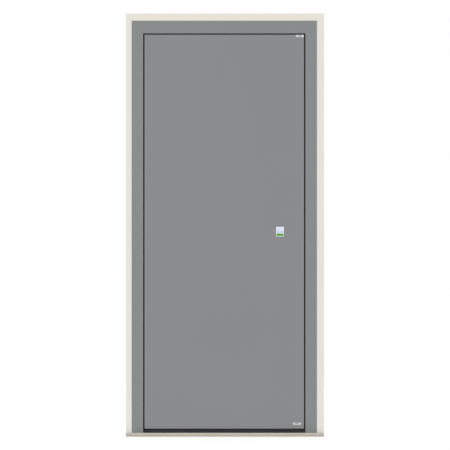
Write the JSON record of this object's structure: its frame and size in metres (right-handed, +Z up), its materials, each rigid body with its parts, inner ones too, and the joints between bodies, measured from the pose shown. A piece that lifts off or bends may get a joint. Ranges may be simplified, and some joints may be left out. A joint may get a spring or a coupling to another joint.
{
  "type": "wood-aluminium front door",
  "caption": "Plain flush grey front door: clad timber frame and leaf with dark threshold, stone sill and cream surround; the leaf swings inwards on barrel hinges.",
  "frame": {"origin": "underside of the sill, below the middle of the door, in the plane of the frame's weather face", "axes": "+X to the right seen from outside, +Y from the weather side to the room side, +Z up"},
  "size_m": [1.0695, 0.178, 2.2835],
  "materials": {
    "grey_coat": "fine-textured grey powder coat on aluminium",
    "timber": "clear-lacquered softwood",
    "cream_paint": "satin cream paint on timber",
    "sill_coat": "honed buff stone",
    "threshold_coat": "near-black anodised extrusion",
    "seal_rubber": "matt black",
    "steel": "brushed stainless",
    "reader_case": "pale satin plastic",
    "reader_glass": "pale blue glossy plastic",
    "reader_lamp": "green translucent plastic"
  },
  "bodies": {
    "frame": {"sill": "sill_coat", "threshold": "threshold_coat", "surround_left": "cream_paint", "surround_right": "cream_paint", "surround_head": "cream_paint", "jamb_hinge_side": "timber", "jamb_lock_side": "timber", "frame_head": "timber", "shell_hinge_side": "grey_coat", "shell_lock_side": "grey_coat", "shell_head": "grey_coat", "frame_seal": "seal_rubber", "strike_plate_bottom": "steel", "strike_plate_middle": "steel", "strike_plate_top": "steel", "hinge_frame_half_bottom": "steel", "hinge_frame_half_middle": "steel", "hinge_frame_half_top": "steel", "hinge_pin_bottom": "steel", "hinge_pin_middle": "steel", "hinge_pin_top": "steel"},
    "leaf": {"outer_skin": "grey_coat", "hinge_stile": "timber", "lock_stile": "timber", "top_rail": "timber", "bottom_rail": "timber", "inner_panel": "timber", "leaf_seal": "seal_rubber", "lock_face_strip": "steel", "latch_bolt": "steel", "dead_bolts": "steel", "hinge_leaf_half_bottom": "steel", "hinge_leaf_half_middle": "steel", "hinge_leaf_half_top": "steel", "lever_rose": "steel", "turn_knob_rose": "steel", "lever_handle": "steel", "turn_knob": "steel", "reader_housing": "reader_case", "reader_window": "reader_glass", "reader_light": "reader_lamp"}
  },
  "joints": [
    {"name": "leaf_swing", "type": "hinge", "parent": "frame", "child": "leaf", "pos_m": [-0.455, 0.1, 1.15], "axis": [0, 0, 1], "range_deg": [0, 100]}
  ]
}
